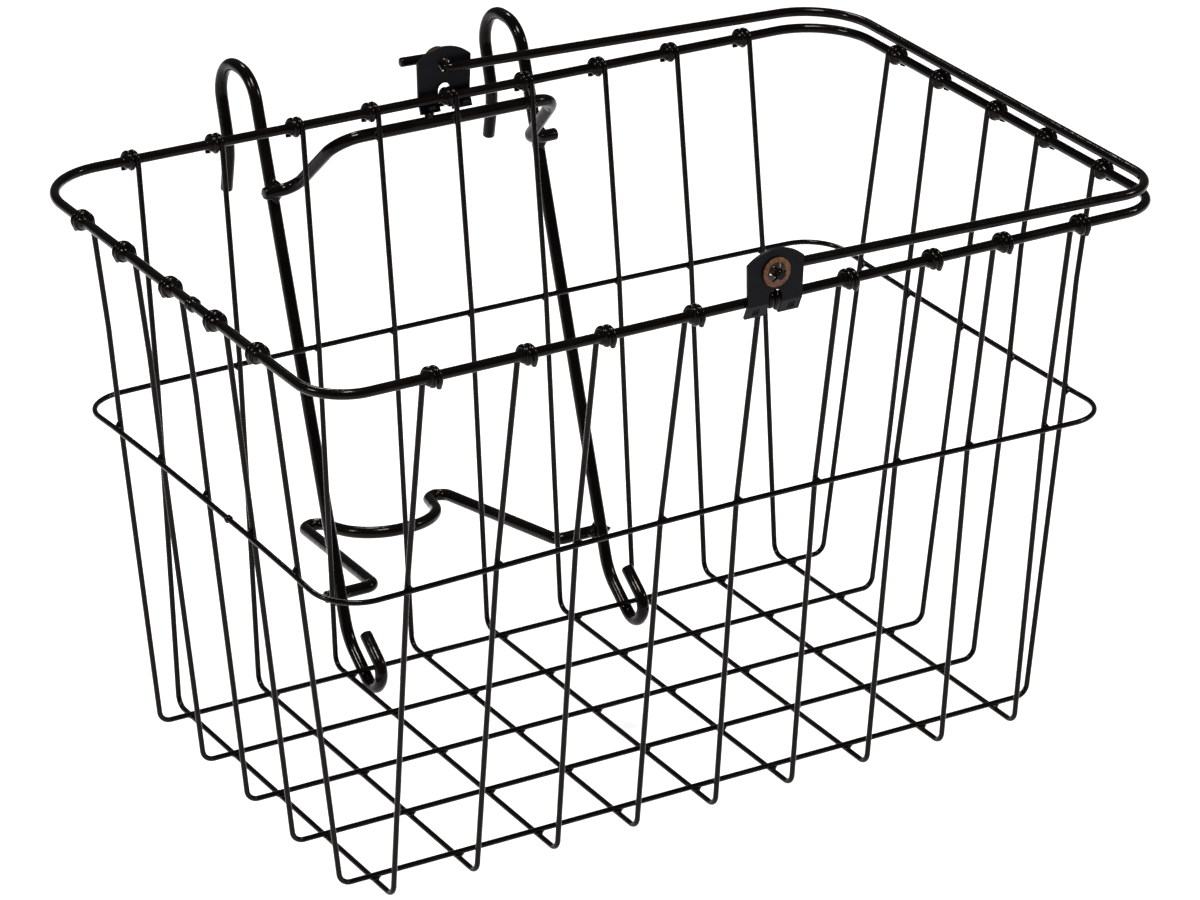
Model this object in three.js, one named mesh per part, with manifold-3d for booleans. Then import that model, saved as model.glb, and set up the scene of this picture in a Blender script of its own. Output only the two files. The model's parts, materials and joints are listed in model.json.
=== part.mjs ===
// Quick-release wire basket for a bicycle handlebar.
// Frame: millimetres, +Z up, +X along the basket's length, +Y towards the rider.
// The origin is on the axis of the handlebar, midway between the two hooks that hang on it.

import * as THREE from "three";
import { mergeVertices } from "three/addons/utils/BufferGeometryUtils.js";
import Module from "manifold-3d";

const wasm = await Module();
wasm.setup();

// ---------------------------------------------------------------- driving dimensions

const GAP = 0.3; // left between pieces that touch or are welded

// Basket. Heights are measured from the centre of the floor's cross wires.
const RIM_LENGTH = 364.5; // wire centre to wire centre
const RIM_WIDTH = 234.6;
const RIM_HEIGHT = 223.2;
const RIM_CORNER = 28;
const FRONT_CORNER = 18.5; // bend radius of the rim's two front corners
const FRONT_SKEW = 2.3; // how far the front side's left end stands out, and its right end in
const RIM_WIRE = 3.8; // diameter
const FLOOR_LENGTH = 310.4;
const FLOOR_WIDTH = 177.7;
const FLOOR_AHEAD = 0.4; // how far the floor stands ahead of the rim's middle
const FLOOR_RIGHT = 1.4; // and to the right of it
const GRID_WIRE = 2.1; // diameter of the cross wires, the long wires and the hoop
const GRID_BEND = 5;
const CROSS_WIRES = 9;
const LONG_WIRES = 5;
const CROSS_SPACING = 35; // on the floor
const LONG_SPACING = 37.5;
const CROSS_RIM_SPACING = 34.8; // where the same wires reach the rim
const LONG_RIM_SPACING = 36.2;
const HOOP_HEIGHT = 133.2;
const HOOP_CORNER = 18;
const WELD_BEND = 60; // bend radius of the hoop where a wire crosses it
const SIDE_WAIST = 2.3; // how far the hoop draws the front and rear walls in
const FRONT_BOW = 1.2; // how much further it draws in the middle of the front

// How far each side of the hoop bends up from its corners to its middle.
const FRONT_RISE = 2.2;
const REAR_RISE = 1.3;
const LEFT_RISE = 3;
const RIGHT_RISE = -1.4;

// The wires are laid and wound on one by one, so they stray from even spacing.
const FLOOR_STRAY = [-0.6, 0.1, 0.1, 0.2, 0.5, 0.3, 0.2, 0.3, 0.3];
const FRONT_STRAY = [-1, 3, 1, 3.7, 0.9, 1, 3.6, 0.7, 1.5];
const REAR_STRAY = [1.2, 2.6, 3, 1.8, 2.2, 1.8, 1.3, 0.6, 0.5];
const LEFT_STRAY = [-3, -2, -4, -3.5, -0.5];
const RIGHT_STRAY = [-1.5, 3, -0.5, 1.5, 0];

// Each grid wire ends in a collar wound round the rim.
const COLLAR_SLACK = 0.5; // between the rim and the collar
const COLLAR_PITCH = 2.4;
const COLLAR_END = 600; // degrees of winding, counted from the rim's inner side
const COLLAR_STEP = 40;

// Bail and its two sheet brackets. Heights here are above the rim's centre.
const BAIL_WIRE = 3.8;
const BAIL_CORNER = 27;
const BAIL_FRONT_CORNER = 20;
const BAIL_WIDTH = 233.4; // arm centre to arm centre
const FRONT_PIVOT = 11.4; // height of the bail's front pin above the rim, and of its rear one
const REAR_PIVOT = 12.6;
const BAIL_REST = 6.8; // centre of the cross part, lying on the end collars
const PIN_BEND = 2.4;
const FRONT_PIN_LENGTH = 8.2;
const REAR_PIN_LENGTH = 13;
const TAIL_LENGTH = 14.4;
const SHEET = 1.2;
const BRACKET_WIDTH = 24.2;
const BRACKET_SHOULDER = 15.6;
const BRACKET_TOP = 20.3;
const BRACKET_FOOT = -0.8; // where its feet begin to lean in under the rim
const BRACKET_TAPER = 0.5; // how much narrower each side is at the foot
const SLOT_WIDTH = 5.6;
const FRONT_SLOT_TOP = 4.4;
const REAR_SLOT_TOP = 5.2;
const PIN_HOLE = 5.8;
const GRIP_OFFSET = 7.6; // of each pressed grip from the bracket's middle
const GRIP_WIDTH = 2.8;
const GRIP_REACH = 4.2;
const DIMPLE_DEPTH = 0.7; // what the press leaves outside each grip
const BRACKET_FOOT_REACH = 5.9;
const BRACKET_FOOT_LEAN = 24;

const NUT_DIAMETER = 11.6;
const NUT_FLANGE_INNER = 8;
const NUT_THICKNESS = 0.5;
const NUT_DOME = 1.3;
const NUT_TEETH = 6;
const NUT_SLIT = 0.9;
const NUT_STAND_OFF = 5.4; // of the rear nut, which sits further out on its longer pin

// Hanger: two hooked legs joined by two crossbars.
const HANGER_WIRE = 5;
const LEG_OFFSET = 61.3; // of each leg from the middle
const LEG_LEAN = 19.3; // degrees, towards the rider going up
const LEG_AT_FLOOR = 88.1; // Y of the leg's straight run, carried down to floor height
const LEG_BEND = 22;
const HOOK_RADIUS = 14.5;
const HOOK_CENTRE_HEIGHT = 212.1;
const HOOK_CROWN = 3; // flat top of the hook, which rests on the handlebar
const HOOK_TUCK = 16; // degrees that the free strand first leans back to the leg
const HOOK_TUCK_DROP = 24; // below the hook's centre
const HOOK_FLARE = 10; // degrees that its end leans away again
const HOOK_END_DROP = 43;
const HOOK_STRAND_BEND = 30;
const BAR_DIAMETER = 25.4; // the handlebar that the hooks fit
const FOOT_RADIUS = 7.7;
const FOOT_NOSE = 1; // straight run between its two bends
const FOOT_SLOPE = 35; // degrees above level
const FOOT_CENTRE = [71.1, 4.4]; // Y and height
const FOOT_STRAND = 12;

const BRACE_HEIGHT = 214.2;
const BRACE_SPAN = 50; // half of its straight middle
const BRACE_STUB_HEIGHT = 184.4;
const BRACE_STUB_INNER = 53.5;
const BRACE_STUB_END = 67.5;
const BRACE_BEND = 8; // down at the legs
const BRACE_UPPER_BEND = 12;

const REST_HEIGHT = 23.8; // where the head-tube rest crosses the legs
const REST_SLOPE = -6.8; // degrees, falling towards the rider
const REST_STUB_END = 66;
const REST_CORNER = 43;
const REST_CORNER_BEND = 4.5;
const PRONG_LENGTH = 81.5;
const PRONG_HALF_SPAN = 34;
const PRONG_BEND = 5.5;
const NOTCH_RADIUS = 22;
const NOTCH_FLAT = 3; // straight middle, which rests on the head tube
const NOTCH_DEPTH = 53; // from the stubs to the middle of the notch
const NOTCH_FLANK = 75; // degrees turned from the notch's middle to its straight flank

// ---------------------------------------------------------------- values worked out from them

const rimRadius = RIM_WIRE / 2;
const gridRadius = GRID_WIRE / 2;
const bailRadius = BAIL_WIRE / 2;
const hangerRadius = HANGER_WIRE / 2;
const halfLength = RIM_LENGTH / 2;
const halfWidth = RIM_WIDTH / 2;
const collarRadius = rimRadius + COLLAR_SLACK + gridRadius;
const longHeight = GRID_WIRE + GAP;
const barCentre = [
  LEG_AT_FLOOR +
    (HOOK_CENTRE_HEIGHT + HOOK_RADIUS * Math.sin(radians(LEG_LEAN))) * Math.tan(radians(LEG_LEAN)) +
    HOOK_RADIUS * Math.cos(radians(LEG_LEAN)) +
    HOOK_CROWN / 2,
  HOOK_CENTRE_HEIGHT + HOOK_RADIUS - hangerRadius - BAR_DIAMETER / 2,
];

// ---------------------------------------------------------------- finishes

const glossBlack = new THREE.MeshStandardMaterial({ color: 0x0b0b0c, roughness: 0.22, metalness: 0.1 });
const satinBlack = new THREE.MeshStandardMaterial({ color: 0x1c1c20, roughness: 0.45, metalness: 0.3 });
const copper = new THREE.MeshStandardMaterial({ color: 0x6b4022, roughness: 0.35, metalness: 0.8 });

// ---------------------------------------------------------------- helpers

function radians(degrees) {
  return (degrees * Math.PI) / 180;
}

function point(x, y, z) {
  return new THREE.Vector3(x, y, z);
}

// A point in the fore-and-aft plane of a leg, from its Y and its height.
function inPlane(x, [y, z]) {
  return point(x, y, z);
}

function along(start, direction, distance) {
  return start.clone().addScaledVector(direction, distance);
}

// The centre line of a bent wire, as stations with a tangent each. Stations stand only at the
// wire's ends and round its bends, so a straight run costs no faces.
class WirePath extends THREE.Curve {
  constructor(stations) {
    super();
    this.stations = stations;
  }

  station(u) {
    return this.stations[Math.round(u * (this.stations.length - 1))];
  }

  getPointAt(u, target = new THREE.Vector3()) {
    return target.copy(this.station(u).at);
  }

  getTangentAt(u, target = new THREE.Vector3()) {
    return target.copy(this.station(u).tangent);
  }
}

// The stations of one bend of the given radius at a corner between two neighbouring points.
function bend(before, corner, after, radius, stepDegrees) {
  const arrive = corner.clone().sub(before).normalize();
  const leave = after.clone().sub(corner).normalize();
  const turn = arrive.angleTo(leave);
  const start = along(corner, arrive, -radius * Math.tan(turn / 2));
  const inward = leave.clone().addScaledVector(arrive, -arrive.dot(leave)).normalize();
  const centre = along(start, inward, radius);
  const steps = Math.ceil(turn / radians(stepDegrees) - 1e-6);
  const stations = [];
  for (let i = 0; i <= steps; i++) {
    const angle = (turn * i) / steps;
    const at = along(along(centre, inward, -radius * Math.cos(angle)), arrive, radius * Math.sin(angle));
    const tangent = arrive.clone().multiplyScalar(Math.cos(angle));
    tangent.addScaledVector(inward, Math.sin(angle));
    stations.push({ at, tangent });
  }
  return stations;
}

// An open wire through corner points: each corner is [point, bend radius, degrees per step].
function bentStations(corners) {
  const points = corners.map(([at]) => at);
  const last = points.length - 1;
  const stations = [{ at: points[0], tangent: points[1].clone().sub(points[0]).normalize() }];
  for (let i = 1; i < last; i++) {
    const [, radius, stepDegrees = 20] = corners[i];
    stations.push(...bend(points[i - 1], points[i], points[i + 1], radius, stepDegrees));
  }
  stations.push({ at: points[last], tangent: points[last].clone().sub(points[last - 1]).normalize() });
  return stations;
}

// A closed loop of wire through corner points: each corner is [point, bend radius, degrees per step].
function loopStations(corners) {
  const stations = corners.flatMap(([at, radius, stepDegrees = 18], i) => {
    const [before] = corners[(i + corners.length - 1) % corners.length];
    const [after] = corners[(i + 1) % corners.length];
    return bend(before, at, after, radius, stepDegrees);
  });
  return [...stations, stations[0]];
}

// A regular section with flats that face along and across the plane of a wire's bends.
function section(radius, sides) {
  const turn = sides % 4 === 0 ? Math.PI / sides : 0;
  const corners = [];
  for (let i = 0; i < sides; i++) {
    const angle = turn + (2 * Math.PI * i) / sides;
    corners.push(new THREE.Vector2(radius * Math.cos(angle), radius * Math.sin(angle)));
  }
  return new THREE.Shape(corners);
}

function wireGeometry(stations, radius, sides) {
  const extrudePath = new WirePath(stations);
  return new THREE.ExtrudeGeometry(section(radius, sides), { steps: stations.length - 1, extrudePath });
}

function loopGeometry(stations, radius, sides) {
  return new THREE.TubeGeometry(new WirePath(stations), stations.length - 1, radius, sides, true);
}

function solid(geometry) {
  const bare = geometry.index ? geometry.toNonIndexed() : geometry.clone();
  bare.deleteAttribute("normal");
  bare.deleteAttribute("uv");
  const merged = mergeVertices(bare, 1e-4);
  return new wasm.Manifold(
    new wasm.Mesh({
      numProp: 3,
      vertProperties: merged.attributes.position.array,
      triVerts: new Uint32Array(merged.index.array),
    }),
  );
}

function geometryOf(manifold) {
  const { vertProperties, triVerts } = manifold.getMesh();
  const geometry = new THREE.BufferGeometry();
  geometry.setAttribute("position", new THREE.BufferAttribute(vertProperties, 3));
  geometry.setIndex(new THREE.BufferAttribute(triVerts, 1));
  geometry.computeVertexNormals();
  return geometry;
}

function block(centre, width, depth, height) {
  return new THREE.BoxGeometry(width, depth, height).translate(centre.x, centre.y, centre.z);
}

const basket = new THREE.Group();
basket.position.set(0, -barCentre[0], -barCentre[1]);

function add(name, geometry, material) {
  const mesh = new THREE.Mesh(geometry, material);
  mesh.name = name;
  basket.add(mesh);
}

// ---------------------------------------------------------------- rim and hoop

function makeRim() {
  const stations = loopStations([
    [point(-halfLength, -halfWidth - FRONT_SKEW, RIM_HEIGHT), FRONT_CORNER],
    [point(halfLength, -halfWidth + FRONT_SKEW, RIM_HEIGHT), FRONT_CORNER],
    [point(halfLength, halfWidth, RIM_HEIGHT), RIM_CORNER],
    [point(-halfLength, halfWidth, RIM_HEIGHT), RIM_CORNER],
  ]);
  add("rim", loopGeometry(stations, rimRadius, 8), glossBlack);
}

// The hoop runs outside the wall wires and is welded to each of them, where it has a shallow bend.
function makeHoop() {
  const outside = GRID_WIRE + GAP;
  const sideWelds = (sign) =>
    crossPlaces.map(([onFloor, onFront, onRear]) => {
      const face = sideWall(sign, onFloor);
      const x = atHoop(face, onFloor, sign < 0 ? onFront : onRear);
      return [point(x, sign * (face.waist + outside), face.hoop), WELD_BEND, 3];
    });
  const endWelds = (sign) =>
    longPlaces.map(([onFloor, onLeft, onRight]) => {
      const face = endWall(sign, onFloor);
      const y = atHoop(face, onFloor, sign < 0 ? onLeft : onRight);
      return [point(sign * (face.waist + outside), y, face.hoop), WELD_BEND, 3];
    });
  const corner = (signX, signY) => {
    const x = signX * (endWall(signX, signY * halfWidth).waist + outside);
    const y = signY * (sideWall(signY, signX * halfLength).waist + outside);
    return [point(x, y, HOOP_HEIGHT), HOOP_CORNER];
  };
  const stations = loopStations([
    corner(-1, -1),
    ...sideWelds(-1),
    corner(1, -1),
    ...endWelds(1).reverse(),
    corner(1, 1),
    ...sideWelds(1).reverse(),
    corner(-1, 1),
    ...endWelds(-1),
  ]);
  add("mid_hoop", loopGeometry(stations, gridRadius, 6), glossBlack);
}

// ---------------------------------------------------------------- grid wires

// Where each wire stands: on the floor, and where it reaches the rim at each of its ends.
const crossPlaces = FLOOR_STRAY.map((stray, i) => {
  const place = i - (CROSS_WIRES - 1) / 2;
  const onRim = place * CROSS_RIM_SPACING;
  return [place * CROSS_SPACING + FLOOR_RIGHT + stray, onRim + FRONT_STRAY[i], onRim + REAR_STRAY[i]];
});
const longPlaces = LEFT_STRAY.map((stray, i) => {
  const place = (LONG_WIRES - 1) / 2 - i;
  const onRim = place * LONG_RIM_SPACING;
  return [place * LONG_SPACING - FLOOR_AHEAD, onRim + stray, onRim + RIGHT_STRAY[i]];
});

// A wall's wires leave the floor's edge, pass inside the hoop at their waist, and meet the inner
// side of the rim at a lean, in degrees. All offsets are outwards from the basket's middle.
function wall(floor, rim, drawnIn, hoop) {
  const spread = rim - floor;
  const straight = Math.atan2(spread, RIM_HEIGHT) - Math.asin(collarRadius / Math.hypot(spread, RIM_HEIGHT));
  const waist = floor + hoop * Math.tan(straight) - drawnIn;
  const above = RIM_HEIGHT - hoop;
  const lean = Math.atan2(rim - waist, above) - Math.asin(collarRadius / Math.hypot(rim - waist, above));
  return { floor, waist, rim, hoop, lean: (lean * 180) / Math.PI };
}

// The wall that a wire climbs, at its place along the wall. sign is 1 for the rear and right walls,
// and -1 for the front and left walls.
function sideWall(sign, x) {
  const middle = 1 - (x / halfLength) ** 2;
  const floor = FLOOR_WIDTH / 2 - sign * FLOOR_AHEAD;
  if (sign > 0) {
    return wall(floor, halfWidth, SIDE_WAIST, HOOP_HEIGHT + REAR_RISE * middle);
  }
  const rim = halfWidth - (FRONT_SKEW * x) / halfLength;
  return wall(floor, rim, SIDE_WAIST + FRONT_BOW * middle ** 2, HOOP_HEIGHT + FRONT_RISE * middle ** 2);
}

function endWall(sign, y) {
  const rise = sign > 0 ? RIGHT_RISE : LEFT_RISE;
  const hoop = HOOP_HEIGHT + rise * (1 - (y / halfWidth) ** 2);
  return wall(FLOOR_LENGTH / 2 + sign * FLOOR_RIGHT, halfLength, 0, hoop);
}

// How far along its wall a wire crosses the hoop.
function atHoop(face, onFloor, onRim) {
  return onFloor + ((onRim - onFloor) * face.hoop) / RIM_HEIGHT;
}

// A wire's end, wound up the inside of the rim, over it and round: the stations from the wall up.
// outward points from the basket to the rim, side is the way that the winding travels, and first
// is the angle of winding at which the wall's wire meets the rim.
function collarStations(rimCentre, outward, side, first) {
  const up = point(0, 0, 1);
  const stations = [];
  for (let degrees = first; degrees <= COLLAR_END; degrees += COLLAR_STEP) {
    const angle = radians(degrees);
    const at = rimCentre.clone().addScaledVector(side, (COLLAR_PITCH * (degrees - first)) / 360);
    at.addScaledVector(outward, -collarRadius * Math.cos(angle));
    at.addScaledVector(up, collarRadius * Math.sin(angle));
    const tangent = outward.clone().multiplyScalar(Math.sin(angle));
    tangent.addScaledVector(up, Math.cos(angle));
    tangent.addScaledVector(side, COLLAR_PITCH / (2 * Math.PI * collarRadius)).normalize();
    stations.push({ at, tangent });
  }
  return stations;
}

function reversed(stations) {
  return stations.map(({ at, tangent }) => ({ at, tangent: tangent.clone().negate() })).reverse();
}

// A U of grid wire: collar, wall, floor, wall, collar. Each end says which way is out, which wall
// it climbs, where it stands along that wall on the floor and on the rim, and which way it winds.
function gridWire(ends, height) {
  const [start, finish] = ends.map(({ out, across, face, onFloor, onRim, winding }) => {
    const place = (outwards, sideways, z) =>
      point(0, 0, z).addScaledVector(out, outwards).addScaledVector(across, sideways);
    const atFloor = face.floor + ((face.waist - face.floor) * height) / face.hoop;
    return {
      collar: collarStations(place(face.rim, onRim, RIM_HEIGHT), out, winding, face.lean),
      waist: place(face.waist, atHoop(face, onFloor, onRim), face.hoop),
      floor: place(atFloor, onFloor, height),
    };
  });
  const runs = bentStations([
    [start.collar[0].at, 0],
    [start.waist, GRID_BEND],
    [start.floor, GRID_BEND, 25],
    [finish.floor, GRID_BEND, 25],
    [finish.waist, GRID_BEND],
    [finish.collar[0].at, 0],
  ]);
  return [...reversed(start.collar), ...runs.slice(1, -1), ...finish.collar];
}

function makeGrid() {
  const right = point(1, 0, 0);
  const back = point(0, 1, 0);
  const left = right.clone().negate();
  const front = back.clone().negate();
  crossPlaces.forEach(([onFloor, onFront, onRear], i) => {
    const ends = [
      { out: front, across: right, face: sideWall(-1, onFloor), onFloor, onRim: onFront, winding: right },
      { out: back, across: right, face: sideWall(1, onFloor), onFloor, onRim: onRear, winding: left },
    ];
    add(`cross_wire_${i + 1}`, wireGeometry(gridWire(ends, 0), gridRadius, 6), glossBlack);
  });
  longPlaces.forEach(([onFloor, onLeft, onRight], i) => {
    const ends = [
      { out: left, across: back, face: endWall(-1, onFloor), onFloor, onRim: onLeft, winding: back },
      { out: right, across: back, face: endWall(1, onFloor), onFloor, onRim: onRight, winding: front },
    ];
    add(`long_wire_${i + 1}`, wireGeometry(gridWire(ends, longHeight), gridRadius, 6), glossBlack);
  });
}

// ---------------------------------------------------------------- hanger

const legSlope = Math.tan(radians(LEG_LEAN));
const legCosine = Math.cos(radians(LEG_LEAN));

function legY(height) {
  return LEG_AT_FLOOR + legSlope * height;
}

// One leg: a foot hook that closes round the rearmost long wire, a leaning run, and the bar hook.
function makeLeg(name, x) {
  const slope = radians(FOOT_SLOPE);
  const strand = point(0, Math.cos(slope), Math.sin(slope));
  const across = point(0, -Math.sin(slope), Math.cos(slope));
  const footCentre = inPlane(x, FOOT_CENTRE);
  const nose = along(footCentre, strand, -FOOT_RADIUS);
  const tip = along(along(footCentre, across, FOOT_RADIUS), strand, FOOT_STRAND);
  const upperNose = along(nose, across, FOOT_RADIUS);
  const lowerNose = along(nose, across, -FOOT_RADIUS);
  const reach = (legY(lowerNose.z) - lowerNose.y) / (strand.y - legSlope * strand.z);
  const heel = along(lowerNose, strand, reach);

  const crown = HOOK_CENTRE_HEIGHT + HOOK_RADIUS;
  const tuck = Math.tan(radians(HOOK_TUCK));
  const backCrownY = barCentre[0] + HOOK_CROWN / 2 + HOOK_RADIUS * Math.tan(radians((90 + HOOK_TUCK) / 2));
  const frontCrown = point(x, legY(crown), crown);
  const backCrown = point(x, backCrownY, crown);
  const waist = along(backCrown, point(0, -tuck, -1), HOOK_RADIUS + HOOK_TUCK_DROP);
  const end = along(waist, point(0, Math.tan(radians(HOOK_FLARE)), -1), HOOK_END_DROP - HOOK_TUCK_DROP);
  const stations = bentStations([
    [tip, 0],
    [upperNose, FOOT_RADIUS - FOOT_NOSE / 2, 30],
    [lowerNose, FOOT_RADIUS - FOOT_NOSE / 2, 30],
    [heel, LEG_BEND, 12],
    [frontCrown, HOOK_RADIUS, 18],
    [backCrown, HOOK_RADIUS, 18],
    [waist, HOOK_STRAND_BEND, 8],
    [end, 0],
  ]);
  add(name, wireGeometry(stations, hangerRadius, 8), glossBlack);
}

// The upper crossbar is welded across the front of the legs and, after a step up and forward at
// each end, along the outside of the rear wall just under the rim.
function makeBrace() {
  const stubY = legY(BRACE_STUB_HEIGHT) - (HANGER_WIRE + GAP) / legCosine;
  const { waist, lean, hoop } = sideWall(1, 0);
  const wireY = waist + (BRACE_HEIGHT - hoop) * Math.tan(radians(lean));
  const wallY = wireY + gridRadius + GAP + hangerRadius;
  const half = (sign) => [
    [point(sign * BRACE_STUB_END, stubY, BRACE_STUB_HEIGHT), 0],
    [point(sign * BRACE_STUB_INNER, stubY, BRACE_STUB_HEIGHT), BRACE_BEND],
    [point(sign * BRACE_SPAN, wallY, BRACE_HEIGHT), BRACE_UPPER_BEND],
  ];
  const stations = bentStations([...half(-1), ...half(1).reverse()]);
  add("upper_crossbar", wireGeometry(stations, hangerRadius, 8), glossBlack);
}

// The lower crossbar is welded across the back of the legs and runs out to two prongs, with a
// round notch between them that sits against the bicycle's head tube.
function makeHeadTubeRest() {
  const slope = radians(REST_SLOPE);
  const startY = legY(REST_HEIGHT) + (HANGER_WIRE + GAP) / legCosine;
  const place = (x, reach) =>
    point(x, startY + reach * Math.cos(slope), REST_HEIGHT + reach * Math.sin(slope));
  const notchCorner = NOTCH_FLAT / 2 + NOTCH_RADIUS * Math.tan(radians(NOTCH_FLANK / 2));
  const flankLean = Math.tan(radians(90 - NOTCH_FLANK));
  const half = (sign) => [
    [place(sign * REST_STUB_END, 0), 0],
    [place(sign * REST_CORNER, 0), REST_CORNER_BEND, 25],
    [place(sign * PRONG_HALF_SPAN, PRONG_LENGTH), PRONG_BEND, 30],
    [place(sign * (notchCorner + (PRONG_LENGTH - NOTCH_DEPTH) * flankLean), PRONG_LENGTH), PRONG_BEND, 30],
    [place(sign * notchCorner, NOTCH_DEPTH), NOTCH_RADIUS, 15],
  ];
  const stations = bentStations([...half(-1), ...half(1).reverse()]);
  add("head_tube_rest", wireGeometry(stations, hangerRadius, 8), glossBlack);
}

// ---------------------------------------------------------------- bail, brackets and push nut

// Each bracket stands over a collar of the middle cross wire, which its slot clears. The bail turns
// about the line through the holes of both brackets.
const middleWire = (CROSS_WIRES - 1) / 2;
const frontX = FRONT_STRAY[middleWire] + COLLAR_PITCH;
const rearX = REAR_STRAY[middleWire] - COLLAR_PITCH;
const bracketInner = halfWidth + rimRadius + 0.4;
const bracketOuter = bracketInner + SHEET;
const frontPivot = RIM_HEIGHT + FRONT_PIVOT;
const rearPivot = RIM_HEIGHT + REAR_PIVOT;

function makeBail() {
  const restHeight = RIM_HEIGHT + BAIL_REST;
  const arm = BAIL_WIDTH / 2;
  const tailRise = (TAIL_LENGTH * (REAR_PIVOT - BAIL_REST)) / halfLength;
  const stations = bentStations([
    [point(frontX, -arm - FRONT_PIN_LENGTH, frontPivot), 0],
    [point(frontX, -arm, frontPivot), PIN_BEND, 30],
    [point(halfLength, FRONT_SKEW - arm, restHeight), BAIL_FRONT_CORNER, 18],
    [point(halfLength, arm, restHeight), BAIL_CORNER, 18],
    [point(rearX, arm, rearPivot), PIN_BEND, 30],
    [point(rearX, arm + REAR_PIN_LENGTH, rearPivot), PIN_BEND, 30],
    [point(rearX - TAIL_LENGTH, arm + REAR_PIN_LENGTH, rearPivot + tailRise), 0],
  ]);
  add("bail_handle", wireGeometry(stations, bailRadius, 8), glossBlack);
}

// A bracket in its own frame: x across, y outwards from its inner face, z up from the rim's centre.
function bracketSolid(pivot, slotTop) {
  const half = BRACKET_WIDTH / 2;
  const foot = half - BRACKET_TAPER;
  const rise = BRACKET_TOP - BRACKET_SHOULDER;
  const archRadius = (half * half + rise * rise) / (2 * rise);
  const archAngle = Math.asin(half / archRadius);
  const slot = SLOT_WIDTH / 2;
  const outline = new THREE.Shape();
  outline.moveTo(-foot, BRACKET_FOOT);
  outline.lineTo(-slot, BRACKET_FOOT);
  outline.lineTo(-slot, slotTop - slot);
  outline.absarc(0, slotTop - slot, slot, Math.PI, 0, true);
  outline.lineTo(slot, BRACKET_FOOT);
  outline.lineTo(foot, BRACKET_FOOT);
  outline.lineTo(half, BRACKET_SHOULDER);
  const archCentre = BRACKET_TOP - archRadius;
  outline.absarc(0, archCentre, archRadius, Math.PI / 2 - archAngle, Math.PI / 2 + archAngle, false);
  outline.closePath();
  const hole = new THREE.Path().absarc(0, pivot, PIN_HOLE / 2, 0, 2 * Math.PI, true);
  outline.holes.push(hole);
  const plate = new THREE.ExtrudeGeometry(outline, { depth: SHEET, bevelEnabled: false, curveSegments: 7 });
  plate.rotateX(Math.PI / 2).translate(0, SHEET, 0);

  const gripTop = -(rimRadius + GAP);
  let bracket = solid(plate);
  for (const sign of [-1, 1]) {
    const footWidth = foot - slot;
    const leaning = new THREE.BoxGeometry(footWidth, SHEET, BRACKET_FOOT_REACH);
    leaning.translate(0, -SHEET / 2, -BRACKET_FOOT_REACH / 2).rotateX(radians(-BRACKET_FOOT_LEAN));
    leaning.translate(sign * (slot + footWidth / 2), SHEET, BRACKET_FOOT);
    const dimpleCentre = point(sign * GRIP_OFFSET, 0, gripTop - GRIP_WIDTH / 2);
    const gripCentre = point(sign * GRIP_OFFSET, -GRIP_REACH / 2, gripTop - SHEET / 2);
    bracket = bracket.add(solid(leaning));
    bracket = bracket.subtract(solid(block(dimpleCentre, GRIP_WIDTH, 2 * DIMPLE_DEPTH, GRIP_WIDTH)));
    bracket = bracket.add(solid(block(gripCentre, GRIP_WIDTH, GRIP_REACH, SHEET)));
  }
  return bracket;
}

function makeBrackets() {
  const front = geometryOf(bracketSolid(FRONT_PIVOT, FRONT_SLOT_TOP)).rotateZ(Math.PI);
  const rear = geometryOf(bracketSolid(REAR_PIVOT, REAR_SLOT_TOP));
  add("bail_bracket_front", front.translate(frontX, -bracketInner, RIM_HEIGHT), satinBlack);
  add("bail_bracket_rear", rear.translate(rearX, bracketInner, RIM_HEIGHT), satinBlack);
}

// A stamped push nut: a flat flange and a dome split into teeth that bite the bail's pin.
function makePushNuts() {
  const bore = bailRadius + GAP;
  const outer = NUT_DIAMETER / 2;
  const flange = NUT_FLANGE_INNER / 2;
  const profile = [
    [outer, 0],
    [outer, NUT_THICKNESS],
    [flange, NUT_THICKNESS],
    [bore, NUT_DOME + NUT_THICKNESS],
    [bore, NUT_DOME],
    [flange - 0.2, 0],
    [outer, 0],
  ].map(([r, h]) => new THREE.Vector2(r, h));
  let nut = solid(new THREE.LatheGeometry(profile, 24));
  for (let i = 0; i < NUT_TEETH; i++) {
    const slit = new THREE.BoxGeometry(flange - 0.4, 6 * NUT_DOME, NUT_SLIT);
    slit.translate((flange - 0.4) / 2 + 0.3, 0, 0).rotateY((2 * Math.PI * i) / NUT_TEETH);
    nut = nut.subtract(solid(slit));
  }
  const rear = geometryOf(nut);
  const front = rear.clone().rotateX(Math.PI);
  add("push_nut_front", front.translate(frontX, -bracketOuter - GAP, frontPivot), copper);
  add("push_nut_rear", rear.translate(rearX, bracketOuter + NUT_STAND_OFF, rearPivot), copper);
}

makeRim();
makeHoop();
makeGrid();
makeLeg("hanger_leg_left", -LEG_OFFSET);
makeLeg("hanger_leg_right", LEG_OFFSET);
makeBrace();
makeHeadTubeRest();
makeBail();
makeBrackets();
makePushNuts();

export default basket;
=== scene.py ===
"""The looks of a wire basket that hangs on a bicycle handlebar.

Every wire of the frame is a faceted bar. Here its centre line is read back from the frame and swept
again as round, painted wire, and the welds, the paint that gathers at them and the sheet-metal
parts are added. All lengths are in metres, in the frame's own axes.
"""

import json
from math import ceil, cos, pi, radians, sin, sqrt, tan

import bmesh
import bpy
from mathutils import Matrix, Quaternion, Vector, noise

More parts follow.
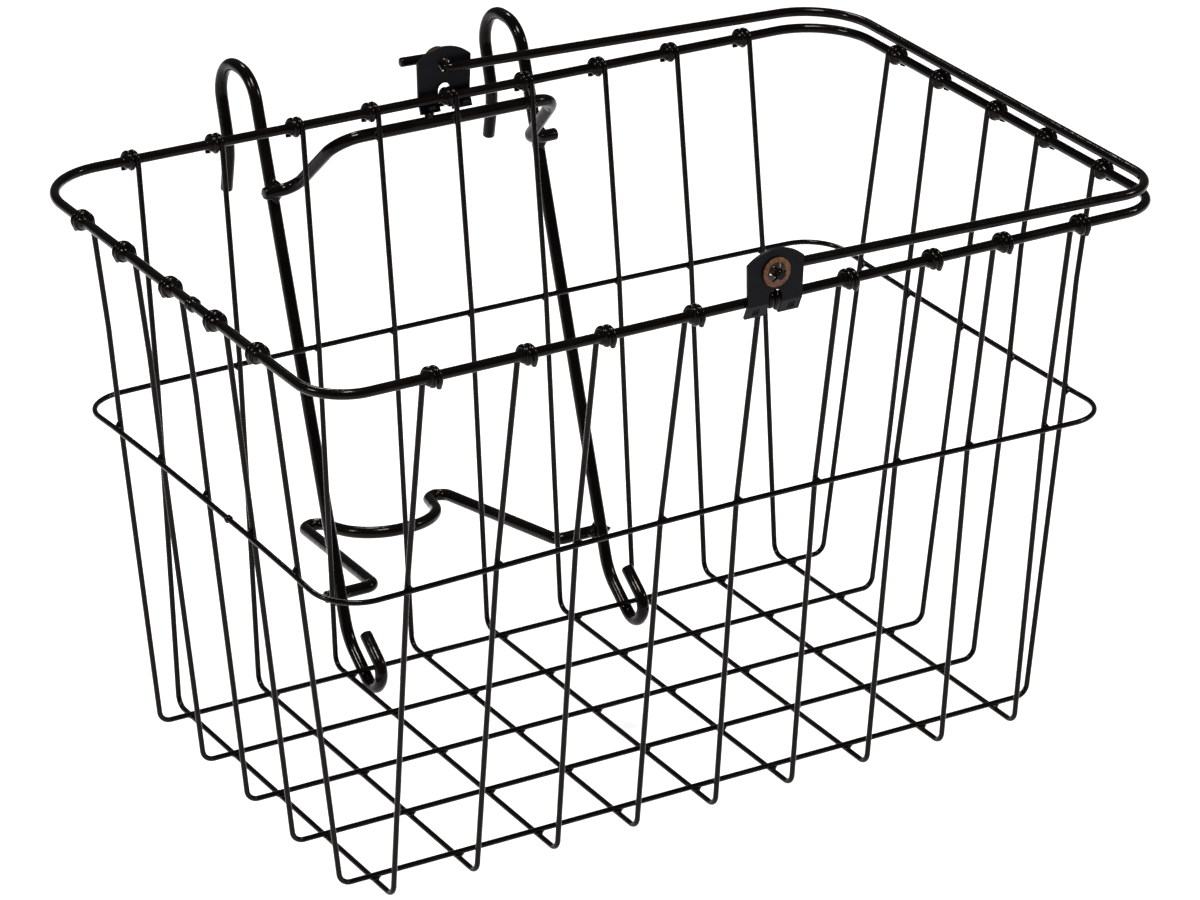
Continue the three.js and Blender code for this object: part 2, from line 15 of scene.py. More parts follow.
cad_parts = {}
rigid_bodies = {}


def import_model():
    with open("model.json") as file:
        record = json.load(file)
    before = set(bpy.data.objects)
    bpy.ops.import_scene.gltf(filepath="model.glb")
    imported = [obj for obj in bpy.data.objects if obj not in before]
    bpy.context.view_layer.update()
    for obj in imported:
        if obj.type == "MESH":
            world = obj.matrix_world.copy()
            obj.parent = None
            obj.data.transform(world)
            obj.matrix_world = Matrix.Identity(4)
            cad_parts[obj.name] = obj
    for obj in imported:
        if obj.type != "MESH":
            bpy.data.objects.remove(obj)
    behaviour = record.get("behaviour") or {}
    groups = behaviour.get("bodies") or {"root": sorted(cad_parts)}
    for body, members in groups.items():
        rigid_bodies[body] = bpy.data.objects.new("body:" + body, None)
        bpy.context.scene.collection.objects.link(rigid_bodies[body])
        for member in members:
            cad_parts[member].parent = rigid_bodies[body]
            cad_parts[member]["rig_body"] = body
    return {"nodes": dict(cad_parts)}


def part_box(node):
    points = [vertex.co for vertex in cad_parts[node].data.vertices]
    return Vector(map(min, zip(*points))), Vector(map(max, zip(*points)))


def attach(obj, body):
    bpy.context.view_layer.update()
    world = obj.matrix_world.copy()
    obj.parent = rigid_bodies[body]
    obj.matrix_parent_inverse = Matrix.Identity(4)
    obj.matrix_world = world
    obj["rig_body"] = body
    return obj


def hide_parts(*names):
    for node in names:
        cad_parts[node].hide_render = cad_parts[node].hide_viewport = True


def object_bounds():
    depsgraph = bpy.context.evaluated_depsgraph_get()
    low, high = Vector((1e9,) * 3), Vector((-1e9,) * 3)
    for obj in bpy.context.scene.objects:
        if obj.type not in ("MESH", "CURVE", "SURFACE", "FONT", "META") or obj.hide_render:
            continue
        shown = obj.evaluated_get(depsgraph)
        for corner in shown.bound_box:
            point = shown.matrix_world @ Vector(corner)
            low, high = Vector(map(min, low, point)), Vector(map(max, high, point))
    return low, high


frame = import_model()
cad_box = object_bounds()

MM = 0.001
UP = Vector((0, 0, 1))

# The wires, by what they are made of: radius, and the sides of the frame's section.
GRID_RADIUS = 1.05 * MM
RIM_RADIUS = 1.9 * MM
HANGER_RADIUS = 2.5 * MM
CROSS_WIRES = sorted(n for n in frame["nodes"] if n.startswith("cross_wire"))
LONG_WIRES = sorted(n for n in frame["nodes"] if n.startswith("long_wire"))
GRID_WIRES = CROSS_WIRES + LONG_WIRES
HANGER_WIRES = ["hanger_leg_left", "hanger_leg_right", "upper_crossbar", "head_tube_rest"]
WIRES = {"rim": (RIM_RADIUS, 8), "bail_handle": (RIM_RADIUS, 8), "mid_hoop": (GRID_RADIUS, 6)}
WIRES.update({name: (GRID_RADIUS, 6) for name in GRID_WIRES})
WIRES.update({name: (HANGER_RADIUS, 8) for name in HANGER_WIRES})

# How a wire is read back from the frame.
SAME_POINT = 1e-6  # corners closer than this are one
SIDE_MATCH = 0.003  # how nearly an edge is as long as a side of the section, if it is one
CORNER_MATCH = radians(2)  # and how nearly two of them meet at the section's corner angle

# How it is swept again.
ARC_STEP = radians(7)
STRAIGHT = 0.01  # in radians: a span that turns less than this isn't bent
WIRE_SIDES = 20
CUT_ROUNDING = 0.3  # share of a wire's radius that is rounded off at a cut
PAINT = 1.03  # how much thicker the paint makes a wire
COLLAR_PAINT = 1.08  # and the windings of a collar
COLLAR_TIGHT = 0.87  # how far the windings close on to the rim
CUT_END = 3.2 * MM  # how far a wire's cut end sticks out of its collar

# Where wires are welded.
WELD_REACH = 0.7 * MM  # wires this close to each other are welded
SPAN_SLACK = 0.3 * MM  # how far past its end a straight span still counts as crossed
PARALLEL = 1e-3  # squared sine of the least angle between two spans that cross
CROSSING_GAP = 3 * GRID_RADIUS  # crossings closer to each other than this are one
RIM_WELD = Vector((-182.2, -199.7, 11.8)) * MM  # where the ends of the rim's wire meet
HOOP_WELD = Vector((-171.4, -202.9, -75.2)) * MM  # and those of the hoop's
TACK_WELD = Vector((-8.8, -62.6, 5)) * MM  # at the rear bracket's foot

# The shapes of the paint and the welds, as pairs of (distance along the wire, height).
COLLAR_SLOPE = [(1.2, -0.1), (0.4, 0.2), (-0.4, 1.1)]  # mm past the windings, mm over the rim
COLLAR_CROWN = 1.4  # mm over the rim, at the collar's middle
BUTT_RIDGE = [(-1.28, 0.97), (-0.96, 1.12), (-0.64, 1.42), (-0.32, 1.5), (-0.08, 1.24)]
BUTT_RIDGE += [(0.16, 1.22), (0.4, 1.46), (0.72, 1.5), (0.96, 1.18), (1.28, 0.97)]  # wire radii
TACK_BEAD = [(-1.6, 1.5), (-1.0, 2.3), (-0.4, 2.0), (0.3, 1.8), (0.9, 2.1), (1.6, 1.9), (2.0, 1.2)]
LUMP_SIZE = 1.3 * MM

# The paint at a crossing. The first two are in radii of the thinner wire.
WEB_REACH = 1.5  # how far it runs past the other wire
WEB_THICKNESS = 0.85
WEB_HOLLOW = 0.9  # exponent of its outline: 2 is round, and under 1 is hollow between four points
WEB_LEVELS = (1.0, 0.85, 0.6, 0.3)  # its rings, as shares of the outline
WEB_SIDES = 32
WEB_UNEVEN = 0.12
WEB_LUMP_SIZE = 0.7 * MM

# The sheet-metal parts.
NUT_TEETH = 4.2 * MM  # radius of the part of a push nut that is split into teeth
FLAT = radians(1)  # faces that meet at less than this are one
FOLD = radians(20)  # and at more than this, an edge or a fold
EDGE_MATERIAL = 1  # material slots of a part, after its faces' own
# The third material of a push nut, on its teeth, is painted shade for the nut's recessed middle.
SHADED_TEETH_MATERIAL = 2


# ---------------------------------------------------------------- centre lines from the frame


def ring_through(first, side, sides):
    """The corners of a wire's section that a vertex belongs to, in order round it."""

    def neighbours(vert):
        edges = [e for e in vert.link_edges if abs(e.calc_length() / side - 1) < SIDE_MATCH]
        return [edge.other_vert(vert) for edge in edges]

    corner = pi - 2 * pi / sides
    for second in neighbours(first):
        ring = [first, second]
        while len(ring) <= sides:
            before, at = ring[-2:]
            ahead = [v for v in neighbours(at) if v is not before]
            turns = [(before.co - at.co).angle(v.co - at.co) for v in ahead]
            onward = [v for v, turn in zip(ahead, turns) if abs(turn - corner) < CORNER_MATCH]
            if not onward:
                break
            if first in onward and len(ring) == sides:
                return ring
            ring.append(onward[0])
    raise ValueError("a vertex of the frame belongs to no section")


def rings_of(node, radius, sides):
    """The rings of corners that a wire's section left along it, in order, and if they close."""
    bm = bmesh.new()
    bm.from_mesh(frame["nodes"][node].data)
    bmesh.ops.remove_doubles(bm, verts=bm.verts, dist=SAME_POINT)
    side = 2 * radius * sin(pi / sides)
    number = {}
    rings = []
    for vert in bm.verts:
        if vert not in number:
            ring = ring_through(vert, side, sides)
            number.update((corner, len(rings)) for corner in ring)
            rings.append(ring)
    beside = [set() for _ in rings]
    for edge in bm.edges:
        a, b = (number[vert] for vert in edge.verts)
        if a != b:
            beside[a].add(b)
            beside[b].add(a)
    order = [min(range(len(rings)), key=lambda i: len(beside[i]))]
    onward = beside[order[0]]
    while onward:
        order.append(min(onward))
        onward = beside[order[-1]].difference(order)
    corners = [[vert.co.copy() for vert in rings[i]] for i in order]
    closed = order[0] in beside[order[-1]]
    bm.free()
    return corners, closed


def stations_of(node):
    """The centre of each ring of a frame wire and the wire's direction there."""
    rings, closed = rings_of(node, *WIRES[node])
    centres = [sum(ring, Vector()) / len(ring) for ring in rings]
    stations = []
    for i, (ring, centre) in enumerate(zip(rings, centres)):
        after = centres[(i + 1) % len(centres)] if closed or i + 1 < len(centres) else centre
        before = centres[i - 1] if closed or i else centre
        tangent = (ring[0] - centre).cross(ring[1] - centre).normalized()
        if tangent.dot(after - before) < 0:
            tangent.negate()
        stations.append((centre, tangent))
    return stations, closed


def line_of(stations, closed):
    """The stations with the arcs between them filled in, so that every bend is round."""
    line = []
    following = stations[1:] + stations[:1] if closed else stations[1:]
    for (start, leave), (end, arrive) in zip(stations, following):
        line.append((start, leave))
        turn = leave.angle(arrive)
        if turn < STRAIGHT:
            continue
        handle = 4 / 3 * tan(turn / 4) * (end - start).length / (2 * sin(turn / 2))
        pulls = [start, start + leave * handle, end - arrive * handle, end]
        steps = ceil(turn / ARC_STEP)
        for k in range(1, steps):
            t = k / steps
            weights = [(1 - t) ** 3, 3 * t * (1 - t) ** 2, 3 * t * t * (1 - t), t**3]
            at = sum((p * w for p, w in zip(pulls, weights)), Vector())
            line.append((at, leave.lerp(arrive, t).normalized()))
    return line if closed else line + stations[-1:]


# ---------------------------------------------------------------- mesh helpers


def make_piece(name, bm, material, body, replaced=()):
    """A visible piece that moves with a body, in place of the frame's nodes that it replaces."""
    mesh = bpy.data.meshes.new(name)
    for face in bm.faces:
        face.smooth = True
    bmesh.ops.recalc_face_normals(bm, faces=bm.faces)
    bm.to_mesh(mesh)
    bm.free()
    mesh.materials.append(material)
    piece = bpy.data.objects.new(name, mesh)
    bpy.context.scene.collection.objects.link(piece)
    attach(piece, body)
    if replaced:
        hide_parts(*replaced)
    return piece


def skin(bm, rings, closed):
    """Faces between neighbouring rings of vertices."""
    pairs = zip(rings, rings[1:] + rings[:1]) if closed else zip(rings, rings[1:])
    for a, b in pairs:
        for i in range(len(a)):
            j = (i + 1) % len(a)
            bm.faces.new((a[i], a[j], b[j], b[i]))


def rounded_end(centre, outward, radius):
    """Rings that round off a cut end of wire: (centre, radius) from its side to its face."""
    edge = CUT_ROUNDING * radius
    return [
        (centre + outward * edge * (sin(a) - 1), radius - edge + edge * cos(a))
        for a in (0, pi / 6, pi / 3, pi / 2)
    ]


def sweep(bm, line, closed, radius_at):
    """Round wire along a centre line, with rounded ends if it is open."""
    normal = UP if closed else line[0][1].orthogonal().normalized()
    levels = []
    previous = line[0][1]
    for at, tangent in line:
        normal = previous.rotation_difference(tangent) @ normal
        previous = tangent
        levels.append((at, tangent, normal.copy(), radius_at(at)))
    if not closed:
        at, tangent, normal, radius = levels[0]
        start = [(c, tangent, normal, r) for c, r in rounded_end(at, -tangent, radius)]
        at, tangent, normal, radius = levels[-1]
        end = [(c, tangent, normal, r) for c, r in rounded_end(at, tangent, radius)]
        levels = start[::-1] + levels[1:-1] + end
    rings = []
    for at, tangent, normal, radius in levels:
        across = tangent.cross(normal)
        ring = []
        for i in range(WIRE_SIDES):
            angle = 2 * pi * i / WIRE_SIDES
            ring.append(bm.verts.new(at + radius * (cos(angle) * normal + sin(angle) * across)))
        rings.append(ring)
    skin(bm, rings, closed)
    if not closed:
        bm.faces.new(rings[0][::-1])
        bm.faces.new(rings[-1])


def lathe(bm, centre, axis, profile, sides, lumps=0.0):
    """A profile of (distance along an axis, radius) turned about it, and made uneven by lumps."""
    normal = axis.orthogonal().normalized()
    across = axis.cross(normal)
    rings = []
    for along, radius in profile:
        ring = []
        for i in range(sides):
            angle = 2 * pi * i / sides
            spoke = cos(angle) * normal + sin(angle) * across
            at = centre + axis * along + spoke * radius
            uneven = lumps * noise.noise(at / LUMP_SIZE)
            ring.append(bm.verts.new(at + spoke * radius * uneven))
        rings.append(ring)
    skin(bm, rings, closed=False)
    bm.faces.new(rings[0][::-1])
    bm.faces.new(rings[-1])


# ---------------------------------------------------------------- materials


def new_material(name):
    material = bpy.data.materials.new(name)
    material.use_nodes = True
    nodes = material.node_tree.nodes
    return material, nodes, material.node_tree.links, nodes["Principled BSDF"]


def noise_node(nodes, links, scale, detail, roughness=0.5):
    coordinates = nodes.new("ShaderNodeTexCoord")
    texture = nodes.new("ShaderNodeTexNoise")
    texture.inputs["Scale"].default_value = scale
    texture.inputs["Detail"].default_value = detail
    texture.inputs["Roughness"].default_value = roughness
    links.new(coordinates.outputs["Object"], texture.inputs["Vector"])
    return texture


def spread(nodes, links, source, low, high):
    """Maps a noise's middle range onto low to high."""
    ranged = nodes.new("ShaderNodeMapRange")
    ranged.inputs["From Min"].default_value = 0.3
    ranged.inputs["From Max"].default_value = 0.7
    ranged.inputs["To Min"].default_value = low
    ranged.inputs["To Max"].default_value = high
    links.new(source, ranged.inputs["Value"])
    return ranged.outputs["Result"]


def bumps(nodes, links, shader, layers):
    """Stacks bump layers of (height source, distance, strength) on a shader."""
    normal = None
    for height, distance, strength in layers:
        bump = nodes.new("ShaderNodeBump")
        bump.inputs["Distance"].default_value = distance
        bump.inputs["Strength"].default_value = strength
        links.new(height, bump.inputs["Height"])
        if normal:
            links.new(normal, bump.inputs["Normal"])
        normal = bump.outputs["Normal"]
    links.new(normal, shader.inputs["Normal"])


def gloss_paint():
    """Black dip paint on steel wire: glossy, with sags and a fine orange peel."""
    material, nodes, links, shader = new_material("gloss_black_paint")
    sags = noise_node(nodes, links, scale=170, detail=2)
    peel = noise_node(nodes, links, scale=1400, detail=3)
    cloud = noise_node(nodes, links, scale=60, detail=4)
    colour = nodes.new("ShaderNodeMix")
    colour.data_type = "RGBA"
    colour.inputs["A"].default_value = (0.0007, 0.0006, 0.0006, 1)
    colour.inputs["B"].default_value = (0.0032, 0.0024, 0.002, 1)
    links.new(cloud.outputs["Fac"], colour.inputs["Factor"])
    links.new(colour.outputs["Result"], shader.inputs["Base Color"])
    links.new(spread(nodes, links, cloud.outputs["Fac"], 0.09, 0.2), shader.inputs["Roughness"])
    shader.inputs["Specular IOR Level"].default_value = 0.09
    shader.inputs["Specular Tint"].default_value = (1, 0.93, 0.86, 1)
    layers = [(sags.outputs["Fac"], 0.5 * MM, 0.45), (peel.outputs["Fac"], 0.06 * MM, 0.35)]
    bumps(nodes, links, shader, layers)
    return material


def satin_paint(name, dark, light):
    """Thin satin black on the sheet-metal brackets, slightly violet, between two tones."""
    material, nodes, links, shader = new_material(name)
    cloud = noise_node(nodes, links, scale=240, detail=5, roughness=0.6)
    grain = noise_node(nodes, links, scale=2600, detail=3)
    base = nodes.new("ShaderNodeMix")
    base.data_type = "RGBA"
    base.inputs["A"].default_value = dark
    base.inputs["B"].default_value = light
    links.new(cloud.outputs["Fac"], base.inputs["Factor"])
    links.new(base.outputs["Result"], shader.inputs["Base Color"])
    links.new(spread(nodes, links, cloud.outputs["Fac"], 0.34, 0.5), shader.inputs["Roughness"])
    shader.inputs["Specular IOR Level"].default_value = 0.07
    layers = [(cloud.outputs["Fac"], 0.12 * MM, 0.3), (grain.outputs["Fac"], 0.03 * MM, 0.5)]
    bumps(nodes, links, shader, layers)
    return material


def copper_plate():
    """Tarnished copper-brown plating on the spring-steel push nut."""
    material, nodes, links, shader = new_material("copper_plate")
    tarnish = noise_node(nodes, links, scale=900, detail=5, roughness=0.65)
    stamped = noise_node(nodes, links, scale=4200, detail=2)
    colour = nodes.new("ShaderNodeValToRGB")
    colour.color_ramp.elements[0].position = 0.3
    colour.color_ramp.elements[0].color = (0.035, 0.015, 0.009, 1)
    colour.color_ramp.elements[1].position = 0.72
    colour.color_ramp.elements[1].color = (0.15, 0.062, 0.03, 1)
    links.new(tarnish.outputs["Fac"], colour.inputs["Fac"])
    links.new(colour.outputs["Color"], shader.inputs["Base Color"])
    links.new(spread(nodes, links, tarnish.outputs["Fac"], 0.5, 0.28), shader.inputs["Roughness"])
    shader.inputs["Metallic"].default_value = 0.3
    shader.inputs["Specular Tint"].default_value = (1, 0.6, 0.38, 1)
    layers = [(tarnish.outputs["Fac"], 0.05 * MM, 0.4), (stamped.outputs["Fac"], 0.02 * MM, 0.4)]
    bumps(nodes, links, shader, layers)
    return material


def painted_shade_teeth():
    """The nut's hardened teeth: nearly black as painted shade in the nut's recessed middle, and
    smooth enough to glint.
    """
    material, nodes, links, shader = new_material("painted_shade_teeth")
    scale = noise_node(nodes, links, scale=1500, detail=4)
    colour = nodes.new("ShaderNodeMix")
    colour.data_type = "RGBA"
    colour.inputs["A"].default_value = (0.004, 0.0035, 0.003, 1)
    colour.inputs["B"].default_value = (0.03, 0.022, 0.014, 1)
    links.new(scale.outputs["Fac"], colour.inputs["Factor"])
    links.new(colour.outputs["Result"], shader.inputs["Base Color"])
    links.new(spread(nodes, links, scale.outputs["Fac"], 0.2, 0.42), shader.inputs["Roughness"])
    shader.inputs["Metallic"].default_value = 0.6
    bumps(nodes, links, shader, [(scale.outputs["Fac"], 0.05 * MM, 0.5)])
    return material


gloss = gloss_paint()
satin = satin_paint("satin_black_paint", (0.0016, 0.0014, 0.0024, 1), (0.0036, 0.0031, 0.005, 1))
# The brackets' rounded edges get a lighter paint: partly rubbed paint, partly a painted highlight
# along the edges.
edge_wear_and_highlight = satin_paint("edge_wear_and_highlight_paint", (0.005, 0.0046, 0.006, 1), (0.034, 0.031, 0.038, 1))
copper = copper_plate()
shaded_teeth = painted_shade_teeth()


# ---------------------------------------------------------------- wires

stations = {name: stations_of(name) for name in WIRES}
rim_low, rim_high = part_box("rim")
rim_height = (rim_low.z + rim_high.z) / 2
winding_from = rim_height - 4 * GRID_RADIUS  # above this a grid wire is wound into a collar


def collars_of(name):
    """The two collars of a grid wire: which of its stations wind round the rim at each end."""
    wound = [i for i, (at, _) in enumerate(stations[name][0]) if at.z > winding_from]
    half = len(stations[name][0]) // 2
    return [i for i in wound if i < half], [i for i in wound if i >= half]


def collar_middle(name, collar):
    """The middle of a collar, on the rim's centre line, and its size."""
    windings = [stations[name][0][i][0] for i in collar]
    low = Vector([min(at[i] for at in windings) for i in range(3)])
    high = Vector([max(at[i] for at in windings) for i in range(3)])
    middle = (low + high) / 2
    middle.z = rim_height
    return middle, high - low


def tighten(name):
    """Draws both collars on to the rim: the frame leaves a gap there between separate solids."""
    along = 0 if name in CROSS_WIRES else 1
    for collar in collars_of(name):
        middle, _ = collar_middle(name, collar)
        for i in collar:
            at, tangent = stations[name][0][i]
            drawn = middle + (at - middle) * COLLAR_TIGHT
            drawn[along] = at[along]
            stations[name][0][i] = (drawn, tangent)


def lengthen(name):
    """Lets both cut ends of a grid wire stick out a little below the rim."""
    wire = stations[name][0]
    first, leaving = wire[0]
    last, arriving = wire[-1]
    wire.insert(0, (first - leaving * CUT_END, leaving))
    wire.append((last + arriving * CUT_END, arriving))


for wire in GRID_WIRES:
    tighten(wire)
    lengthen(wire)
lines = {name: line_of(*stations[name]) for name in WIRES}


def make_wire(name):
    """One wire in its paint, a little thicker where it is wound round the rim."""
    radius, _ = WIRES[name]
    closed = stations[name][1]

    def radius_at(at):
        in_collar = name in GRID_WIRES and at.z > winding_from
        return radius * (COLLAR_PAINT if in_collar else PAINT)

    bm = bmesh.new()
    sweep(bm, lines[name], closed, radius_at)
    body = frame["nodes"][name]["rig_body"]
    make_piece(name + "_painted", bm, gloss, body, [name])


for wire in WIRES:
    make_wire(wire)


# ---------------------------------------------------------------- paint and welds on the wires


def make_collar_paint():
    """The paint that fills each collar, between its windings and on to the rim."""
    bm = bmesh.new()
    for name in GRID_WIRES:
        axis = Vector((1, 0, 0)) if name in CROSS_WIRES else Vector((0, 1, 0))
        for collar in collars_of(name):
            middle, size = collar_middle(name, collar)
            half = size.dot(axis) / 2 + 0.8 * GRID_RADIUS
            slope = [(half + past * MM, RIM_RADIUS + over * MM) for past, over in COLLAR_SLOPE]
            profile = [(-along, radius) for along, radius in slope]
            profile += [(0, RIM_RADIUS + COLLAR_CROWN * MM), *slope[::-1]]
            lathe(bm, middle, axis, profile, sides=20, lumps=0.14)
    make_piece("collar_paint", bm, gloss, "basket")


def nearest(a, b):
    """The closest points of two straight spans, with their directions."""
    (a0, a1), (b0, b1) = a, b
    along_a, along_b, apart = a1 - a0, b1 - b0, a0 - b0
    aa, bb, ab = along_a.dot(along_a), along_b.dot(along_b), along_a.dot(along_b)
    denominator = aa * bb - ab * ab
    if denominator < PARALLEL * aa * bb:
        return None
    s = (ab * along_b.dot(apart) - bb * along_a.dot(apart)) / denominator
    t = (aa * along_b.dot(apart) - ab * along_a.dot(apart)) / denominator
    slack_a, slack_b = SPAN_SLACK / sqrt(aa), SPAN_SLACK / sqrt(bb)
    if not (-slack_a <= s <= 1 + slack_a and -slack_b <= t <= 1 + slack_b):
        return None
    return a0 + along_a * s, b0 + along_b * t, along_a.normalized(), along_b.normalized()


def spans(name):
    """The straight spans between a wire's stations."""
    wire, closed = stations[name]
    points = [at for at, _ in wire]
    following = points[1:] + points[:1] if closed else points[1:]
    return list(zip(points, following))


def crossings(first_names, second_names):
    """Every place where a wire of one list is welded across a wire of the other."""
    found = []
    for first in first_names:
        for second in second_names:
            reach = WIRES[first][0] + WIRES[second][0] + WELD_REACH
            for a in spans(first):
                for b in spans(second):
                    crossing = nearest(a, b)
                    if not crossing or (crossing[0] - crossing[1]).length > reach:
                        continue
                    if all((crossing[0] - other[0]).length > CROSSING_GAP for other in found):
                        found.append((*crossing, WIRES[first][0], WIRES[second][0]))
    return found


def paint_web(bm, on_a, on_b, along_a, along_b, radius_a, radius_b):
    """Paint drawn into the corners of two crossed wires: a pillow with four points along them."""
    normal = (on_b - on_a).normalized()
    surface_a = on_a + normal * radius_a
    surface_b = on_b - normal * radius_b
    middle = (surface_a + surface_b) / 2
    second = (along_b - normal * along_b.dot(normal)).normalized()
    first = (along_a - normal * along_a.dot(normal)).normalized()
    thinner = min(radius_a, radius_b)
    reach_a = radius_b + WEB_REACH * thinner
    reach_b = radius_a + WEB_REACH * thinner
    levels = []
    for share in WEB_LEVELS:
        rise = WEB_THICKNESS * thinner * sqrt(1 - share * share)
        ring = []
        for i in range(WEB_SIDES):
            angle = 2 * pi * i / WEB_SIDES
            c, s = cos(angle), sin(angle)
            size = (abs(c) ** WEB_HOLLOW + abs(s) ** WEB_HOLLOW) ** (-1 / WEB_HOLLOW)
            size *= 1 + WEB_UNEVEN * noise.noise(middle / WEB_LUMP_SIZE + Vector((c, s, 0)))
            flat = first * (c * size * reach_a) + second * (s * size * reach_b)
            ring.append((flat * share, rise))
        levels.append(ring)
    top = [[bm.verts.new(middle + f + normal * h) for f, h in ring] for ring in levels]
    bottom = [[bm.verts.new(middle + f - normal * h) for f, h in ring] for ring in levels[1:]]
    skin(bm, bottom[::-1] + top, closed=False)
    bm.faces.new(top[-1])
    bm.faces.new(bottom[-1][::-1])


def make_webs(name, first_names, second_names):
    """The paint at every crossing of one list of wires with the other, as one piece."""
    bm = bmesh.new()
    for crossing in crossings(first_names, second_names):
        paint_web(bm, *crossing)
    make_piece(name, bm, gloss, "basket")


def make_butt_weld(wire, at):
    """The uneven ridge that a butt weld leaves round a closed loop, nearest to a given point."""
    radius, _ = WIRES[wire]
    points = [point for point, _ in lines[wire]]

    def foot(span):
        a, b = span
        share = (at - a).dot(b - a) / (b - a).length_squared
        return a.lerp(b, max(0, min(1, share)))

    pairs = zip(points, points[1:] + points[:1])
    span = min(pairs, key=lambda pair: (foot(pair) - at).length)
    profile = [(along * radius, high * radius) for along, high in BUTT_RIDGE]
    bm = bmesh.new()
    lathe(bm, foot(span), (span[1] - span[0]).normalized(), profile, sides=20, lumps=0.12)
    make_piece(wire + "_butt_weld", bm, gloss, "basket")


def make_tack():
    """The tack weld between the rear bracket's foot and the upper crossbar."""
    profile = [(along * MM, radius * MM) for along, radius in TACK_BEAD]
    bm = bmesh.new()
    lathe(bm, TACK_WELD, UP, profile, sides=16, lumps=0.3)
    make_piece("bracket_tack_weld", bm, gloss, "basket")


make_collar_paint()
make_webs("floor_weld_paint", CROSS_WIRES, LONG_WIRES)
make_webs("hoop_weld_paint", GRID_WIRES, ["mid_hoop"])
make_webs("hanger_weld_paint", HANGER_WIRES[:2], HANGER_WIRES[2:])
make_webs("wall_weld_paint", ["upper_crossbar"], CROSS_WIRES)
make_butt_weld("rim", RIM_WELD)
make_butt_weld("mid_hoop", HOOP_WELD)
make_tack()


# ---------------------------------------------------------------- sheet-metal parts


def make_stamping(node, materials, body, edge):
    """A sheet-metal part of the frame, with its edges and folds rounded in the second material."""
    bm = bmesh.new()
    bm.from_mesh(frame["nodes"][node].data)
    bmesh.ops.remove_doubles(bm, verts=bm.verts, dist=SAME_POINT)
    bmesh.ops.dissolve_limit(bm, angle_limit=FLAT, verts=bm.verts, edges=bm.edges)
    piece = make_piece(node + "_finished", bm, materials[0], body, [node])
    piece.data.materials.append(materials[1])
    bevel = piece.modifiers.new("rounded_edges", "BEVEL")
    bevel.width = edge
    bevel.segments = 3
    bevel.limit_method = "ANGLE"
    bevel.angle_limit = FOLD
    bevel.harden_normals = True
    bevel.material = EDGE_MATERIAL
    piece.data.set_sharp_from_angle(angle=FOLD)
    return piece


def shade_nut_teeth(nut):
    """Gives a push nut's teeth, inside its flange, the nearly black material that paints shade into
    its recessed middle.
    """
    nut.data.materials.append(shaded_teeth)
    low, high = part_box(nut.name.removesuffix("_finished"))
    middle = (low + high) / 2
    for face in nut.data.polygons:
        spokes = [nut.data.vertices[i].co - middle for i in face.vertices]
        if all(sqrt(spoke.x**2 + spoke.z**2) < NUT_TEETH for spoke in spokes):
            face.material_index = SHADED_TEETH_MATERIAL


# On the brackets the edge material is the lighter one: partly rubbed paint, partly painted
# highlight.
for bracket in ("bail_bracket_front", "bail_bracket_rear"):
    make_stamping(bracket, (satin, edge_wear_and_highlight), "basket", edge=0.16 * MM)
for nut in ("push_nut_front", "push_nut_rear"):
    shade_nut_teeth(make_stamping(nut, (copper, copper), "bail", edge=0.07 * MM))


# ---------------------------------------------------------------- floor, light and camera

FLOOR_DROP = 60 * MM  # the basket hangs, so the floor is some way below it
FLOOR_SIZE = 18
CAMERA_AT = Vector((-966.5, -1796.5, 773.9)) * MM
CAMERA_TURN = radians(-31.547)
CAMERA_TILT = radians(24.705)
CAMERA_ROLL = radians(0.846)
CAMERA_LENS = 160.04
CAMERA_SHIFT = (-0.0445, -0.0051)
# Name, azimuth and elevation in degrees, distance and size in metres, and power in watts.
LIGHTS = [
    ("top_light", -20, 75, 2.2, 0.5, 60),
    ("left_light", -95, 35, 2.2, 0.3, 26),
    ("right_light", 60, 30, 2.6, 0.3, 26),
    ("back_light", 165, 50, 2.4, 0.4, 22),
]


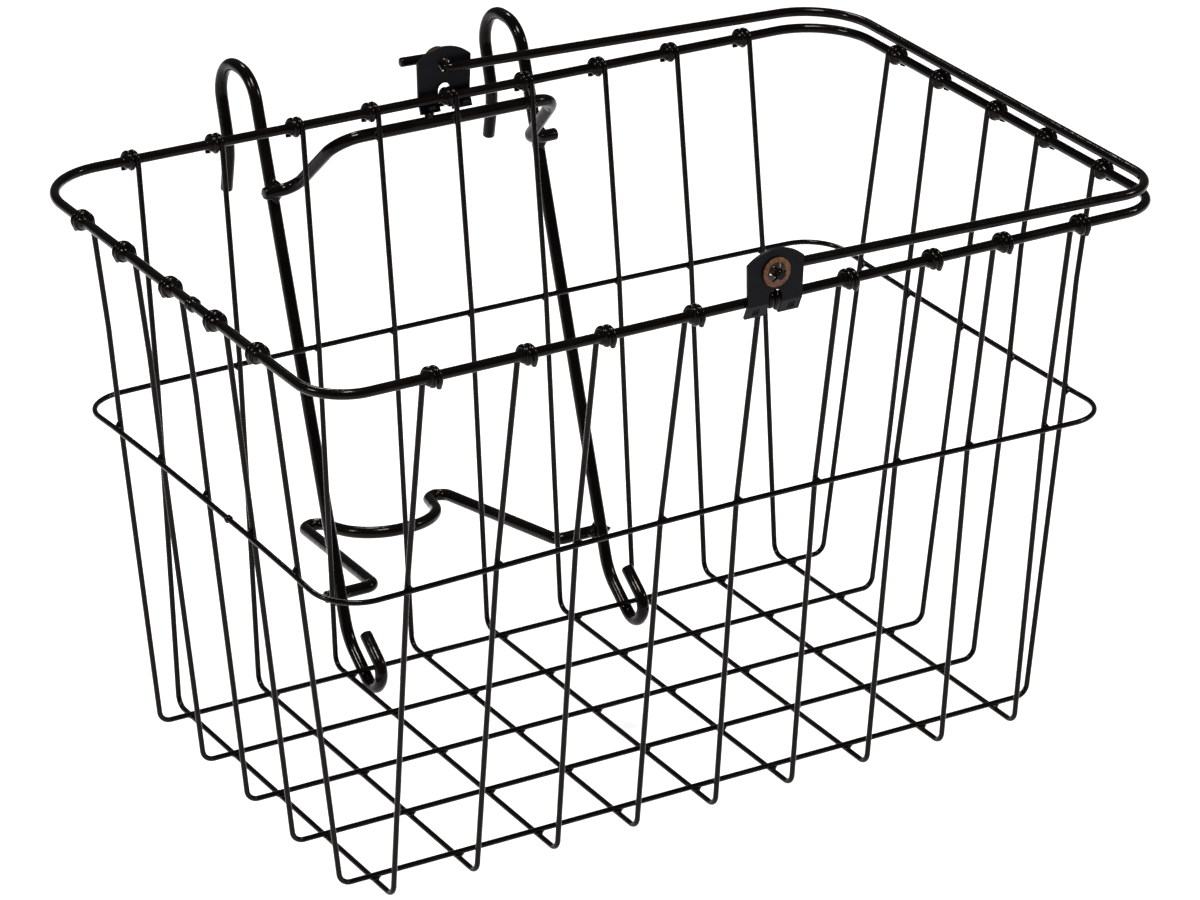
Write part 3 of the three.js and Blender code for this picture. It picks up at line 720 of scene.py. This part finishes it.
def make_floor():
    material, _, _, shader = new_material("pale_floor")
    shader.inputs["Base Color"].default_value = (0.93, 0.93, 0.93, 1)
    shader.inputs["Roughness"].default_value = 0.9
    shader.inputs["Specular IOR Level"].default_value = 0.1
    half = FLOOR_SIZE / 2
    z = cad_box[0].z - FLOOR_DROP
    corners = [(x * half, y * half, z) for x, y in ((-1, -1), (1, -1), (1, 1), (-1, 1))]
    mesh = bpy.data.meshes.new("floor")
    mesh.from_pydata(corners, [], [(0, 1, 2, 3)])
    mesh.materials.append(material)
    floor = bpy.data.objects.new("floor", mesh)
    bpy.context.scene.collection.objects.link(floor)


def make_light(name, azimuth, elevation, distance, size, power):
    """A square soft light aimed at the basket. Azimuth 0 is in front of it, 90 to its right."""
    a, e = radians(azimuth), radians(elevation)
    middle = (cad_box[0] + cad_box[1]) / 2
    outward = Vector((sin(a) * cos(e), -cos(a) * cos(e), sin(e)))
    data = bpy.data.lights.new(name, "AREA")
    data.size = size
    data.energy = power
    light = bpy.data.objects.new(name, data)
    light.location = middle + outward * distance
    light.rotation_mode = "QUATERNION"
    light.rotation_quaternion = (-outward).to_track_quat("-Z", "Y")
    bpy.context.scene.collection.objects.link(light)


def make_world():
    world = bpy.data.worlds.new("studio")
    world.use_nodes = True
    background = world.node_tree.nodes["Background"]
    background.inputs["Color"].default_value = (1, 1, 1, 1)
    background.inputs["Strength"].default_value = 0.1
    bpy.context.scene.world = world


def make_camera():
    data = bpy.data.cameras.new("camera")
    data.lens = CAMERA_LENS
    data.shift_x, data.shift_y = CAMERA_SHIFT
    data.clip_end = 50
    camera = bpy.data.objects.new("camera", data)
    level = cos(CAMERA_TILT)
    ahead = Vector((-sin(CAMERA_TURN) * level, cos(CAMERA_TURN) * level, -sin(CAMERA_TILT)))
    aim = ahead.to_track_quat("-Z", "Y")
    camera.location = CAMERA_AT
    camera.rotation_mode = "QUATERNION"
    camera.rotation_quaternion = aim @ Quaternion((0, 0, 1), CAMERA_ROLL)
    bpy.context.scene.collection.objects.link(camera)
    bpy.context.scene.camera = camera


make_floor()
make_world()
for light in LIGHTS:
    make_light(*light)
make_camera()
bpy.context.scene.view_settings.view_transform = "Standard"
